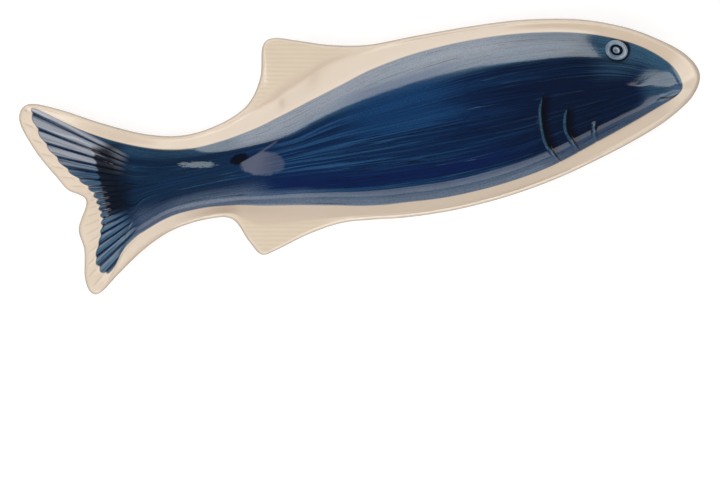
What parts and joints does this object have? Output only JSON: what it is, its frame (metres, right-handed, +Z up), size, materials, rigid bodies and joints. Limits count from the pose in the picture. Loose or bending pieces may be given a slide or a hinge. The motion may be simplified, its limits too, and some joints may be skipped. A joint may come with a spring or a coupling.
{
  "type": "fish shaped platter",
  "caption": "Fish shaped ceramic serving platter with a blue glazed well, cream rim and fins, a fluted tail, a raised eye, gills and mouth, on a low foot.",
  "frame": {"origin": "middle of the platter's box, on the foot's face", "axes": "+X from the tail to the nose, +Y towards the back fin, +Z up"},
  "size_m": [0.5, 0.156, 0.0414],
  "materials": {
    "cream_glaze": "gloss",
    "foot_clay": "satin",
    "blue_glaze": "gloss",
    "pale_blue_glaze": "gloss"
  },
  "bodies": {
    "root": {"platter_body": "cream_glaze", "foot_ring": "foot_clay", "blue_glaze": "blue_glaze", "eye_ring": "pale_blue_glaze", "eye_pupil": "pale_blue_glaze", "rear_gill": "blue_glaze", "middle_gill": "blue_glaze", "front_gill": "blue_glaze", "mouth_lip": "blue_glaze"}
  },
  "joints": []
}
